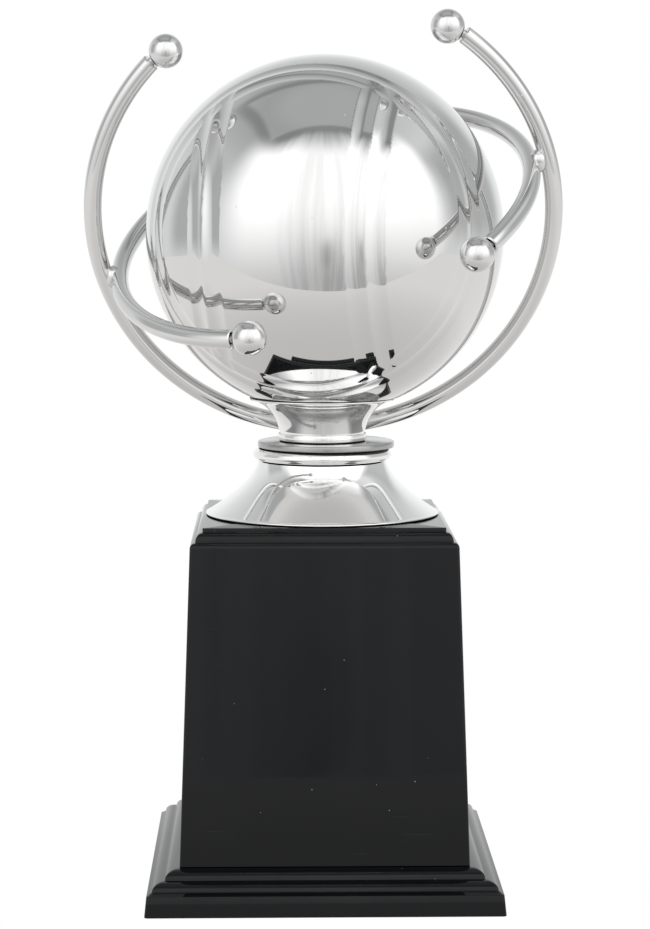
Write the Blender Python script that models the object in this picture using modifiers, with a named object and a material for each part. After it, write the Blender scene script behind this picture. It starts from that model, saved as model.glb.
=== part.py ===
"""Ball trophy: a hollow chromed ball on a stepped black pedestal, with two open rod orbits around it.

The pedestal is a plinth and a tapered tower, both hollow mouldings. A threaded tie rod runs up its
axis from a nut under the plinth, through the ballast, the flared foot, the bead, the collar, the
neck and the plug in the mouth of the ball, to a nut inside the ball. The main orbit is a bent rod
brazed to the back of the neck, and the cross orbit is welded inside it. Each rod end carries a small
ball.

The origin is at the middle of the face the trophy stands on, +Z is up and -Y is the front.
"""

import math

import bmesh
import bpy
from mathutils import Matrix, Vector

# Clearances
GAP = 0.0003  # air between neighbouring pieces that touch in the real object
BORE_CLEARANCE = 0.0003  # added to a radius where a rod or stud passes through a hole

# Felt and cover under the plinth
FELT_PROUD = 0.0004  # how far the felt stands below the rim of the plinth
FELT_THICKNESS = 0.0012
COVER_THICKNESS = 0.0020

# Plinth, all half widths measured from the axis
PLINTH_WIDTH = 0.1300
PLINTH_DRAFT = 0.00075
PLINTH_FACE_HEIGHT = 0.0075
PLINTH_LEDGE = 0.0019
PLINTH_LEDGE_RISE = 0.0012
PLINTH_STEP_OUT = (0.0042, 0.0047)  # width of the lower and the upper quarter-round
PLINTH_STEP_RISE = (0.0031, 0.0031)
PLINTH_STEP_FILLET = 0.00035
PLINTH_WALL = 0.0026
PLINTH_TOP_WALL = 0.0032

# Tower
TOWER_SETBACK = 0.0005  # from the edge of the plinth's flat top to the tower's foot
TOWER_DRAFT = 0.0041  # how far each side leans in over the body's height
TOWER_BODY_HEIGHT = 0.1151
TOWER_WALL = 0.0026
TOWER_TOP_WALL = 0.0030
SHOULDER_STEP_OUT = (0.0017, 0.0023)
SHOULDER_STEP_RISE = (0.0020, 0.0034)
SHOULDER_FILLET = 0.00025
TOP_PLATE_EDGE = 0.0014
CORNER_RADIUS = 0.0011

# Ballast block in the foot of the tower
BALLAST_ROOM = 0.0009  # to the tower's inside, so that it drops in from above
BALLAST_HEIGHT = 0.0240

# Tie rod and its fastening
TIE_ROD_RADIUS = 0.0030
TIE_ROD_END = 0.0012  # how far the rod stands out of the nut
NUT_ACROSS_FLATS = 0.0100
NUT_HEIGHT = 0.0045
WASHER_RADIUS = 0.0090
WASHER_THICKNESS = 0.0015

# Flared foot
FOOT_SETBACK = 0.00025  # from the edge of the top plate to the rim
FOOT_THROAT_RADIUS = 0.0240
FOOT_HEIGHT = 0.0199
FOOT_RIM_EDGE = 0.0007
FOOT_BOW_REACH = 0.0019  # control point of the flare's curve, outside the throat
FOOT_BOW_HEIGHT = 0.0113
FOOT_WALL = 0.0012

# Bead and collar
BEAD_RADIUS = 0.02585
BEAD_HEIGHT = 0.0044
COLLAR_RADIUS = 0.0256
COLLAR_THICKNESS = 0.0023
COLLAR_EDGE = 0.0005
COLLAR_SHIFT = 0.0014  # the collar sits a little off the axis
COLLAR_BORE = 0.0048

# Neck
NECK_FOOT_PROUD = 0.0005  # how far the foot stands out of the waist
NECK_FOOT_HEIGHT = 0.0029
NECK_WAIST_RADIUS = 0.0160
NECK_HEIGHT = 0.0160
NECK_LIP_SETBACK = 0.0009  # from the ball's mouth to the edge of the lip
NECK_LIP_THICKNESS = 0.0008
NECK_BOW_REACH = 0.0023  # control point of the flare's curve, outside the waist
NECK_BOW_DROP = 0.0030
NECK_WALL = 0.0015

# Ball and the plug in its mouth
BALL_RADIUS = 0.0666
BALL_MOUTH_RADIUS = 0.0282
BALL_WALL = 0.0012
BALL_SHIFT = 0.0010  # the ball sits a little off the axis, within the play of the plug's bore
PLUG_THICKNESS = 0.0040
PLUG_BORE = 0.0044
PLUG_RIM_WIDTH = 0.0030
PLUG_RIM_HEIGHT = 0.0070

# Orbits
ORBIT_ROD_RADIUS = 0.0033
ORBIT_ROOM = 0.0185  # from the ball's surface to the rod's own line
ORBIT_FORWARD = 0.0080  # the middle of the main orbit, in front of the axis
MAIN_ORBIT_SWING = math.radians(-0.9)  # the right side comes slightly forward
MAIN_ORBIT_SHIFT = 0.0007
MAIN_ORBIT_ENDS = (math.radians(136.6), math.radians(413.8))
MAIN_TIP_TURN = math.radians(10.0)  # the end balls lean in from the line of the rod
ORBIT_BACK_ROOM = 0.0011  # between the neck's waist and the rod behind it
ORBIT_REST_ROOM = 0.0004  # between the collar and the rod above it
CROSS_ORBIT_LAP = 0.0004  # how far the cross orbit is let into the main one
CROSS_ORBIT_ROLL = math.radians(18.3)  # the right side is higher
CROSS_ORBIT_TILT = math.radians(25.6)  # the back is higher
CROSS_ORBIT_OFFSET = (-0.0001, 0.0, -0.0017)
CROSS_ORBIT_ENDS = (math.radians(-49.2), math.radians(236.4))
CROSS_TIP_TURN = math.radians(6.0)
WELD_RADIUS = 0.0048
BRAZE_HALF_SIZE = (0.0075, 0.0046, 0.0050)

# Balls on the rod ends and their studs
TIP_RADIUS = 0.00625
TIP_FLAT_RADIUS = 0.0028
TIP_REVEAL = 0.0004  # open joint between the rod and its end ball, at its narrow side
STUD_RADIUS = 0.0015
STUD_DEPTH_IN_ROD = 0.0045
STUD_DEPTH_IN_TIP = 0.0040

# Fineness
ROUND_STEPS = 36
SMALL_ROUND_STEPS = 16
ROD_POINTS = 52

# Widths that follow from the sizes above
PLINTH_TOP_HALF = (
    PLINTH_WIDTH / 2 - PLINTH_DRAFT - PLINTH_LEDGE - PLINTH_STEP_FILLET - sum(PLINTH_STEP_OUT)
)
TOWER_FOOT_HALF = PLINTH_TOP_HALF - TOWER_SETBACK
TOWER_TOP_HALF = TOWER_FOOT_HALF - TOWER_DRAFT
TOP_PLATE_HALF = TOWER_TOP_HALF - sum(SHOULDER_STEP_OUT) - 2 * SHOULDER_FILLET
FOOT_RIM_RADIUS = TOP_PLATE_HALF - FOOT_SETBACK
NECK_FOOT_RADIUS = NECK_WAIST_RADIUS + NECK_FOOT_PROUD
NECK_BOW_RADIUS = NECK_WAIST_RADIUS + NECK_BOW_REACH
NECK_LIP_RADIUS = BALL_MOUTH_RADIUS - NECK_LIP_SETBACK

# Heights that follow from the sizes above
PLINTH_BASE_Z = FELT_PROUD
PLINTH_HEIGHT = (
    PLINTH_FACE_HEIGHT + PLINTH_LEDGE_RISE + sum(PLINTH_STEP_RISE) + PLINTH_STEP_FILLET
)
TOWER_Z = PLINTH_BASE_Z + PLINTH_HEIGHT + GAP
SHOULDER_HEIGHT = sum(SHOULDER_STEP_RISE) + SHOULDER_FILLET + TOP_PLATE_EDGE
TOWER_HEIGHT = TOWER_BODY_HEIGHT + SHOULDER_HEIGHT
FOOT_Z = TOWER_Z + TOWER_HEIGHT + GAP
BEAD_Z = FOOT_Z + FOOT_HEIGHT + GAP
COLLAR_Z = BEAD_Z + BEAD_HEIGHT + GAP
NECK_Z = COLLAR_Z + COLLAR_THICKNESS + GAP
BALL_BASE_Z = NECK_Z + NECK_HEIGHT + GAP
BALL_CENTRE_Z = BALL_BASE_Z + math.sqrt(BALL_RADIUS**2 - BALL_MOUTH_RADIUS**2)
BALL_INNER_RADIUS = BALL_RADIUS - BALL_WALL
ROD_BORE = TIE_ROD_RADIUS + BORE_CLEARANCE

MAIN_ORBIT_RADIUS = BALL_RADIUS + ORBIT_ROOM
MAIN_ORBIT_LOW = Vector((
    MAIN_ORBIT_SHIFT,
    NECK_WAIST_RADIUS + ORBIT_ROD_RADIUS + ORBIT_BACK_ROOM,
    NECK_Z + ORBIT_ROD_RADIUS + ORBIT_REST_ROOM,
))
MAIN_ORBIT_LEAN = math.asin((MAIN_ORBIT_LOW.y + ORBIT_FORWARD) / MAIN_ORBIT_RADIUS)
MAIN_ORBIT_ACROSS = Vector((math.cos(MAIN_ORBIT_SWING), math.sin(MAIN_ORBIT_SWING), 0.0))
MAIN_ORBIT_UP = Vector((
    math.sin(MAIN_ORBIT_LEAN) * math.sin(MAIN_ORBIT_SWING),
    -math.sin(MAIN_ORBIT_LEAN) * math.cos(MAIN_ORBIT_SWING),
    math.cos(MAIN_ORBIT_LEAN),
))
MAIN_ORBIT_CENTRE = MAIN_ORBIT_LOW + MAIN_ORBIT_UP * MAIN_ORBIT_RADIUS

CROSS_ORBIT_RADIUS = MAIN_ORBIT_RADIUS - 2 * ORBIT_ROD_RADIUS + CROSS_ORBIT_LAP
CROSS_ORBIT_ACROSS = Vector((math.cos(CROSS_ORBIT_ROLL), 0.0, math.sin(CROSS_ORBIT_ROLL)))
CROSS_ORBIT_UP = Vector((
    -math.sin(CROSS_ORBIT_TILT) * math.sin(CROSS_ORBIT_ROLL),
    math.cos(CROSS_ORBIT_TILT),
    math.sin(CROSS_ORBIT_TILT) * math.cos(CROSS_ORBIT_ROLL),
))
CROSS_ORBIT_CENTRE = MAIN_ORBIT_CENTRE + Vector(CROSS_ORBIT_OFFSET)


def clear_scene():
    """Empty the file that the script runs in."""
    for old in list(bpy.data.objects):
        bpy.data.objects.remove(old, do_unlink=True)


def new_collection(name):
    collection = bpy.data.collections.new(name)
    bpy.context.scene.collection.children.link(collection)
    return collection


def material(name, colour, roughness, metallic):
    """A Principled material for one piece."""
    made = bpy.data.materials.new(name)
    made.use_nodes = True
    shader = made.node_tree.nodes["Principled BSDF"]
    shader.inputs["Base Color"].default_value = (*colour, 1.0)
    shader.inputs["Roughness"].default_value = roughness
    shader.inputs["Metallic"].default_value = metallic
    made.diffuse_color = (*colour, 1.0)
    return made


FINISHES = {
    "black_plastic": ((0.012, 0.013, 0.014), 0.18, 0.0),
    "chrome": ((0.82, 0.83, 0.84), 0.05, 1.0),
    "zinc_steel": ((0.55, 0.56, 0.57), 0.35, 1.0),
    "concrete": ((0.42, 0.41, 0.39), 0.90, 0.0),
    "hardboard": ((0.30, 0.20, 0.12), 0.80, 0.0),
    "felt": ((0.02, 0.02, 0.022), 0.95, 0.0),
}


class Workshop:
    """Keeps the two collections and makes every piece and cutter in them."""

    def __init__(self):
        self.parts = new_collection("bowling_trophy")
        self.cutters = new_collection("cutters")
        self.anchor = bpy.data.objects.new("trophy_origin", None)
        self.parts.objects.link(self.anchor)
        bore = cylinder_mesh("rod_bore", ROD_BORE, -0.010, BALL_CENTRE_Z)
        self.rod_bore = self.cutter("rod_bore", bore)

    def piece(self, name, data, finish, matrix=None):
        made = bpy.data.objects.new(name, data)
        self.parts.objects.link(made)
        made.parent = self.anchor
        made.matrix_world = matrix or Matrix.Identity(4)
        made.data.materials.append(material(name, *FINISHES[finish]))
        return made

    def cutter(self, name, data, matrix=None):
        made = bpy.data.objects.new(name, data)
        self.cutters.objects.link(made)
        made.matrix_world = matrix or Matrix.Identity(4)
        made.hide_render = True
        made.display_type = "WIRE"
        return made


def at_height(z, x=0.0):
    return Matrix.Translation((x, 0.0, z))


def facing(point, direction):
    """A place at a point with its own +Z along a direction."""
    return Matrix.Translation(point) @ direction.to_track_quat("Z", "Y").to_matrix().to_4x4()


def quarter_round(outer, low, out, rise, steps=4):
    """Points down a convex quarter-round that starts at its top and ends at its outer foot."""
    points = []
    for step in range(steps + 1):
        angle = math.radians(90.0) * (1 - step / steps)
        points.append((outer - out + out * math.cos(angle), low + rise * math.sin(angle)))
    return points


def arc(centre_x, centre_z, radius, start, end, steps):
    """Points along an arc, the angles in radians from +X."""
    points = []
    for step in range(steps + 1):
        angle = start + (end - start) * step / steps
        points.append((centre_x + radius * math.cos(angle), centre_z + radius * math.sin(angle)))
    return points


def bow(start, middle, end, steps):
    """Points along a curve from start to end, pulled towards middle."""
    points = []
    for step in range(steps + 1):
        t = step / steps
        points.append(tuple(
            (1 - t) ** 2 * a + 2 * t * (1 - t) * b + t**2 * c
            for a, b, c in zip(start, middle, end)
        ))
    return points


def profile_mesh(name, points, closed):
    """A mesh of edges through points (x, z), for a Screw modifier to turn."""
    mesh = bpy.data.meshes.new(name)
    work = bmesh.new()
    corners = [work.verts.new((max(x, 0.0), 0.0, z)) for x, z in points]
    for first, second in zip(corners, corners[1:]):
        work.edges.new((first, second))
    if closed:
        work.edges.new((corners[-1], corners[0]))
    work.to_mesh(mesh)
    work.free()
    return mesh


def add_screw(thing, steps, smooth=True):
    screw = thing.modifiers.new("turned", "SCREW")
    screw.steps = steps
    screw.render_steps = steps
    screw.use_merge_vertices = True
    screw.merge_threshold = 0.00001
    screw.use_smooth_shade = smooth


def add_cut(thing, cutter):
    cut = thing.modifiers.new("cut", "BOOLEAN")
    cut.operation = "DIFFERENCE"
    cut.object = cutter


def turned(shop, name, points, finish, matrix, steps=ROUND_STEPS, bored=False):
    """A turned piece; a bored profile closes on itself, any other starts and ends on the axis."""
    made = shop.piece(name, profile_mesh(name, points, closed=bored), finish, matrix)
    add_screw(made, steps)
    return made


def four_sided(shop, name, points, finish, z):
    """A square moulding: a profile of half widths swept round four sides with mitred corners."""
    diagonal = [(x * math.sqrt(2.0), height) for x, height in points]
    turn = Matrix.Rotation(math.radians(45.0), 4, "Z")
    made = shop.piece(name, profile_mesh(name, diagonal, closed=False), finish, at_height(z) @ turn)
    add_screw(made, 4, smooth=False)
    return made


def round_corners(thing, radius):
    soften = thing.modifiers.new("corners", "BEVEL")
    soften.width = radius
    soften.segments = 2
    soften.limit_method = "ANGLE"
    soften.angle_limit = math.radians(80.0)


def cylinder_mesh(name, radius, low, high, steps=SMALL_ROUND_STEPS):
    mesh = bpy.data.meshes.new(name)
    work = bmesh.new()
    bmesh.ops.create_cone(
        work, cap_ends=True, segments=steps, radius1=radius, radius2=radius, depth=high - low
    )
    bmesh.ops.translate(work, verts=work.verts, vec=(0.0, 0.0, (low + high) / 2))
    work.to_mesh(mesh)
    work.free()
    mesh.shade_smooth()
    mesh.set_sharp_from_angle(angle=math.radians(40.0))
    return mesh


def box_mesh(name, width, depth, height):
    """A block standing on its own base."""
    mesh = bpy.data.meshes.new(name)
    work = bmesh.new()
    bmesh.ops.create_cube(work, size=1.0)
    bmesh.ops.scale(work, verts=work.verts, vec=(width, depth, height))
    bmesh.ops.translate(work, verts=work.verts, vec=(0.0, 0.0, height / 2))
    work.to_mesh(mesh)
    work.free()
    return mesh


def ellipsoid_mesh(name, half_sizes):
    mesh = bpy.data.meshes.new(name)
    work = bmesh.new()
    bmesh.ops.create_uvsphere(work, u_segments=16, v_segments=10, radius=1.0)
    bmesh.ops.scale(work, verts=work.verts, vec=half_sizes)
    work.to_mesh(mesh)
    work.free()
    mesh.shade_smooth()
    return mesh


def make_plinth(shop):
    """The bottom moulding: a face, a ledge and two quarter-rounds, hollow underneath."""
    half = PLINTH_WIDTH / 2
    ledge_edge = half - PLINTH_DRAFT
    lower_edge = ledge_edge - PLINTH_LEDGE
    upper_edge = lower_edge - PLINTH_STEP_OUT[0] - PLINTH_STEP_FILLET
    lower_z = PLINTH_FACE_HEIGHT + PLINTH_LEDGE_RISE
    upper_z = lower_z + PLINTH_STEP_RISE[0] + PLINTH_STEP_FILLET
    points = [(0.0, PLINTH_HEIGHT)]
    points += quarter_round(upper_edge, upper_z, PLINTH_STEP_OUT[1], PLINTH_STEP_RISE[1])
    points += quarter_round(lower_edge, lower_z, PLINTH_STEP_OUT[0], PLINTH_STEP_RISE[0])
    points += [(ledge_edge, PLINTH_FACE_HEIGHT), (half, 0.0), (half - PLINTH_WALL, 0.0)]
    points += [(lower_edge - PLINTH_WALL, lower_z - PLINTH_WALL)]
    points += [(upper_edge - PLINTH_WALL, upper_z - PLINTH_WALL)]
    ceiling = PLINTH_HEIGHT - PLINTH_TOP_WALL
    points += [(upper_edge - PLINTH_STEP_OUT[1] - PLINTH_WALL, ceiling), (0.0, ceiling)]
    plinth = four_sided(shop, "plinth", points, "black_plastic", PLINTH_BASE_Z)
    round_corners(plinth, CORNER_RADIUS)
    add_cut(plinth, shop.rod_bore)


def make_tower(shop):
    """The tapered tower with its stepped shoulder and flat top, open at the bottom."""
    foot = TOWER_FOOT_HALF
    top = TOWER_TOP_HALF
    upper_edge = top - SHOULDER_STEP_OUT[0] - SHOULDER_FILLET
    plate = TOP_PLATE_HALF
    upper_z = TOWER_BODY_HEIGHT + SHOULDER_STEP_RISE[0]
    plate_z = upper_z + SHOULDER_STEP_RISE[1] + SHOULDER_FILLET
    points = [(0.0, TOWER_HEIGHT), (plate, TOWER_HEIGHT), (plate, plate_z)]
    points += quarter_round(upper_edge, upper_z, SHOULDER_STEP_OUT[1], SHOULDER_STEP_RISE[1])
    points += quarter_round(top, TOWER_BODY_HEIGHT, SHOULDER_STEP_OUT[0], SHOULDER_STEP_RISE[0])
    points += [(foot, 0.0), (foot - TOWER_WALL, 0.0)]
    points += [(top - TOWER_WALL, TOWER_BODY_HEIGHT)]
    ceiling = TOWER_HEIGHT - TOWER_TOP_WALL
    points += [(plate - TOWER_WALL, ceiling), (0.0, ceiling)]
    tower = four_sided(shop, "tower", points, "black_plastic", TOWER_Z)
    round_corners(tower, CORNER_RADIUS)
    add_cut(tower, shop.rod_bore)


def make_underside(shop):
    """The felt and the hardboard cover that close the bottom of the plinth."""
    room = PLINTH_WIDTH - 2 * PLINTH_WALL - 4 * PLINTH_DRAFT
    slope = (PLINTH_DRAFT + PLINTH_LEDGE) / (PLINTH_FACE_HEIGHT + PLINTH_LEDGE_RISE - PLINTH_WALL)
    felt_width = room - 2 * GAP
    shop.piece("base_felt", box_mesh("base_felt", felt_width, felt_width, FELT_THICKNESS), "felt")
    cover_z = FELT_THICKNESS + GAP
    cover_top = cover_z + COVER_THICKNESS
    cover_width = room - 2 * GAP - 2 * slope * cover_top
    cover = box_mesh("base_cover", cover_width, cover_width, COVER_THICKNESS)
    shop.piece("base_cover", cover, "hardboard", at_height(cover_z))


def make_ballast(shop):
    """The cast block that stands on the plinth inside the tower."""
    ballast_z = TOWER_Z
    width = 2 * (TOWER_TOP_HALF - TOWER_WALL - BALLAST_ROOM)
    block = box_mesh("ballast", width, width, BALLAST_HEIGHT)
    ballast = shop.piece("ballast", block, "concrete", at_height(ballast_z))
    round_corners(ballast, CORNER_RADIUS)
    add_cut(ballast, shop.rod_bore)


def make_tie_rod(shop):
    """The threaded rod on the axis with a nut and a washer at each end."""
    ceiling_z = PLINTH_BASE_Z + PLINTH_HEIGHT - PLINTH_TOP_WALL
    base_washer_z = ceiling_z - GAP - WASHER_THICKNESS
    base_nut_z = base_washer_z - GAP - NUT_HEIGHT
    ball_washer_z = BALL_BASE_Z + PLUG_THICKNESS + GAP
    ball_nut_z = ball_washer_z + WASHER_THICKNESS + GAP
    rod_top = ball_nut_z + NUT_HEIGHT + TIE_ROD_END
    rod = cylinder_mesh("tie_rod", TIE_ROD_RADIUS, base_nut_z - TIE_ROD_END, rod_top)
    shop.piece("tie_rod", rod, "zinc_steel")
    washer = [
        (ROD_BORE, WASHER_THICKNESS), (WASHER_RADIUS, WASHER_THICKNESS),
        (WASHER_RADIUS, 0.0), (ROD_BORE, 0.0),
    ]
    corner = NUT_ACROSS_FLATS / math.sqrt(3.0)
    for end, washer_z, nut_z in (
        ("base", base_washer_z, base_nut_z), ("ball", ball_washer_z, ball_nut_z),
    ):
        turned(shop, f"{end}_washer", washer, "zinc_steel", at_height(washer_z), 24, bored=True)
        nut = cylinder_mesh(f"{end}_nut", corner, 0.0, NUT_HEIGHT, steps=6)
        nut_piece = shop.piece(f"{end}_nut", nut, "zinc_steel", at_height(nut_z))
        add_cut(nut_piece, shop.rod_bore)


def make_foot(shop):
    """The spun foot: a thin flare from the throat down to the rim on the pedestal."""
    throat = (FOOT_THROAT_RADIUS, FOOT_HEIGHT)
    pull = (FOOT_THROAT_RADIUS + FOOT_BOW_REACH, FOOT_BOW_HEIGHT)
    rim = (FOOT_RIM_RADIUS, FOOT_RIM_EDGE)
    inner_throat = (FOOT_THROAT_RADIUS - FOOT_WALL, FOOT_HEIGHT - FOOT_WALL)
    inner_pull = (pull[0] - FOOT_WALL, pull[1] - FOOT_WALL / 2)
    inner_rim = (FOOT_RIM_RADIUS - 2 * FOOT_WALL, 0.0)
    points = [(ROD_BORE, FOOT_HEIGHT)]
    points += bow(throat, pull, rim, 9)
    points += [(FOOT_RIM_RADIUS, 0.0)]
    points += bow(inner_rim, inner_pull, inner_throat, 4)
    points += [(ROD_BORE, FOOT_HEIGHT - FOOT_WALL)]
    turned(shop, "foot_flare", points, "chrome", at_height(FOOT_Z), bored=True)


def make_bead(shop):
    """The half-round bead on top of the foot."""
    radius = BEAD_HEIGHT / 2
    right_angle = math.radians(90.0)
    points = [(ROD_BORE, BEAD_HEIGHT)]
    points += arc(BEAD_RADIUS - radius, radius, radius, right_angle, -right_angle, 8)
    points += [(ROD_BORE, 0.0)]
    turned(shop, "bead_ring", points, "chrome", at_height(BEAD_Z), bored=True)


def make_collar(shop):
    """The flat collar disc with eased edges, seated a little off the axis."""
    edge = COLLAR_RADIUS - COLLAR_EDGE
    points = [
        (COLLAR_BORE, COLLAR_THICKNESS), (edge, COLLAR_THICKNESS),
        (COLLAR_RADIUS, COLLAR_THICKNESS - COLLAR_EDGE), (COLLAR_RADIUS, COLLAR_EDGE),
        (edge, 0.0), (COLLAR_BORE, 0.0),
    ]
    turned(shop, "collar_disc", points, "chrome", at_height(COLLAR_Z, COLLAR_SHIFT), bored=True)


def neck_outline(grow=0.0):
    """The outer side of the neck from the edge of its lip down to its foot."""
    lip_low = NECK_HEIGHT - NECK_LIP_THICKNESS
    foot_bulge = NECK_FOOT_RADIUS + grow
    waist = NECK_WAIST_RADIUS + grow
    points = [(NECK_LIP_RADIUS + grow, NECK_HEIGHT), (NECK_LIP_RADIUS + grow, lip_low)]
    points += bow(
        (NECK_LIP_RADIUS - NECK_LIP_THICKNESS + grow, lip_low),
        (NECK_BOW_RADIUS + grow, NECK_HEIGHT - NECK_BOW_DROP),
        (waist, NECK_FOOT_HEIGHT + 0.0003),
        7,
    )
    points += [
        (foot_bulge - 0.0003, NECK_FOOT_HEIGHT), (foot_bulge, NECK_FOOT_HEIGHT - 0.0007),
        (foot_bulge, 0.0007), (foot_bulge - 0.0005, 0.0),
    ]
    return points


def make_neck(shop):
    """The spun neck: a small foot, a waist and a flare up to the thin lip under the ball."""
    inner_top = NECK_HEIGHT - NECK_WALL
    points = [(ROD_BORE, NECK_HEIGHT)] + neck_outline()
    points += [(NECK_WAIST_RADIUS - NECK_WALL, 0.0)]
    points += bow(
        (NECK_WAIST_RADIUS - NECK_WALL, NECK_FOOT_HEIGHT),
        (NECK_BOW_RADIUS - 1.2 * NECK_WALL, inner_top - NECK_BOW_DROP),
        (NECK_BOW_RADIUS, inner_top),
        3,
    )
    points += [(ROD_BORE, inner_top)]
    turned(shop, "neck", points, "chrome", at_height(NECK_Z), bored=True)


def make_ball(shop):
    """The hollow ball, cut flat at its mouth, and the rimmed plug that fills the mouth."""
    centre = BALL_CENTRE_Z - BALL_BASE_Z
    top = math.radians(90.0)
    mouth = -math.acos(BALL_MOUTH_RADIUS / BALL_RADIUS)
    inner_mouth_radius = math.sqrt(BALL_INNER_RADIUS**2 - centre**2)
    inner_mouth = -math.acos(inner_mouth_radius / BALL_INNER_RADIUS)
    place = at_height(BALL_BASE_Z, BALL_SHIFT)
    points = arc(0.0, centre, BALL_RADIUS, top, mouth, 22)
    points += arc(0.0, centre, BALL_INNER_RADIUS, inner_mouth, top, 12)
    turned(shop, "ball_shell", points, "chrome", place, steps=44)

    plug_radius = inner_mouth_radius - BORE_CLEARANCE
    plug = [
        (PLUG_BORE, PLUG_THICKNESS), (plug_radius - PLUG_RIM_WIDTH, PLUG_THICKNESS),
        (plug_radius - PLUG_RIM_WIDTH, PLUG_RIM_HEIGHT), (plug_radius, PLUG_RIM_HEIGHT),
        (plug_radius, 0.0), (PLUG_BORE, 0.0),
    ]
    turned(shop, "ball_plug", plug, "zinc_steel", place, 32, bored=True)


class Orbit:
    """A rod bent to part of a circle in a plane of its own."""

    def __init__(self, name, centre, across, up, radius, ends, tip_turn):
        self.name = name
        self.tip_turn = tip_turn
        self.reveal = TIP_REVEAL + TIP_FLAT_RADIUS * math.tan(tip_turn)
        self.centre = centre
        self.across = across
        self.up = up
        self.radius = radius
        self.ends = ends

    def point(self, angle):
        return self.centre + (self.across * math.cos(angle) + self.up * math.sin(angle)) * self.radius

    def tangent(self, angle):
        return self.up * math.cos(angle) - self.across * math.sin(angle)

    def normal(self):
        return self.across.cross(self.up).normalized()

    def tube(self, shop, name, rod_radius, start, end, points):
        """The rod as a welded mesh from a bevelled curve."""
        curve = bpy.data.curves.new(name, "CURVE")
        curve.dimensions = "3D"
        curve.bevel_depth = rod_radius
        curve.bevel_resolution = 4
        curve.use_fill_caps = True
        spline = curve.splines.new("POLY")
        spline.points.add(points - 1)
        for index, control in enumerate(spline.points):
            angle = start + (end - start) * index / (points - 1)
            control.co = (*self.point(angle), 1.0)
        guide = shop.cutter(name + "_guide", curve)
        bpy.context.view_layer.update()
        evaluated = guide.evaluated_get(bpy.context.evaluated_depsgraph_get())
        mesh = bpy.data.meshes.new_from_object(evaluated)
        mesh.materials.clear()
        work = bmesh.new()
        work.from_mesh(mesh)
        bmesh.ops.remove_doubles(work, verts=work.verts, dist=0.000005)
        bmesh.ops.recalc_face_normals(work, faces=work.faces)
        work.to_mesh(mesh)
        work.free()
        bpy.data.objects.remove(guide, do_unlink=True)
        mesh.name = name
        mesh.shade_smooth()
        mesh.set_sharp_from_angle(angle=math.radians(50.0))
        return mesh

    def rod(self, shop):
        """The rod itself, drilled at both ends for the studs."""
        start, end = self.ends
        mesh = self.tube(shop, self.name, ORBIT_ROD_RADIUS, start, end, ROD_POINTS)
        rod = shop.piece(self.name, mesh, "chrome")
        for side, point, outward in self.tips():
            bore = cylinder_mesh(
                f"{self.name}_{side}_bore", STUD_RADIUS + BORE_CLEARANCE,
                -STUD_DEPTH_IN_ROD - GAP, self.reveal,
            )
            add_cut(rod, shop.cutter(f"{self.name}_{side}_bore", bore, facing(point, outward)))
        return rod

    def tips(self):
        """Side, end point and direction of the stud at each rod end."""
        ends = []
        for angle, sense in zip(self.ends, (-1.0, 1.0)):
            lean_in = Matrix.Rotation(sense * self.tip_turn, 3, self.normal())
            ends.append((self.point(angle), lean_in @ (self.tangent(angle) * sense)))
        ends.sort(key=lambda pair: pair[0].x)
        return [(side, *pair) for side, pair in zip(("left", "right"), ends)]

    def make_tips(self, shop, label):
        """The ball and the stud at each end of the rod."""
        flat = math.sqrt(TIP_RADIUS**2 - TIP_FLAT_RADIUS**2)
        flat_angle = -math.acos(TIP_FLAT_RADIUS / TIP_RADIUS)
        socket = STUD_RADIUS + BORE_CLEARANCE
        floor = STUD_DEPTH_IN_TIP - flat
        profile = arc(0.0, 0.0, TIP_RADIUS, math.radians(90.0), flat_angle, 11)
        profile += [(socket, -flat), (socket, floor), (0.0, floor)]
        for side, point, outward in self.tips():
            centre = point + outward * (self.reveal + flat)
            name = f"{label}_tip_{side}"
            turned(shop, name, profile, "chrome", facing(centre, outward), 20)
            stud = cylinder_mesh(
                f"{label}_stud_{side}", STUD_RADIUS,
                -STUD_DEPTH_IN_ROD, self.reveal + STUD_DEPTH_IN_TIP - GAP, steps=12,
            )
            shop.piece(f"{label}_stud_{side}", stud, "zinc_steel", facing(point, outward))


def crossings(outer, inner):
    """The two places where the inner orbit meets the plane of the outer one, left one first."""
    normal = outer.normal()
    offset = (inner.centre - outer.centre).dot(normal)
    a = inner.radius * inner.across.dot(normal)
    b = inner.radius * inner.up.dot(normal)
    middle = math.atan2(b, a)
    spread = math.acos(-offset / math.hypot(a, b))
    places = []
    for angle in (middle - spread, middle + spread):
        inside = inner.point(angle)
        outside = outer.centre + (inside - outer.centre).normalized() * outer.radius
        places.append((inside + outside) / 2)
    places.sort(key=lambda place: place.x)
    return places


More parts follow.
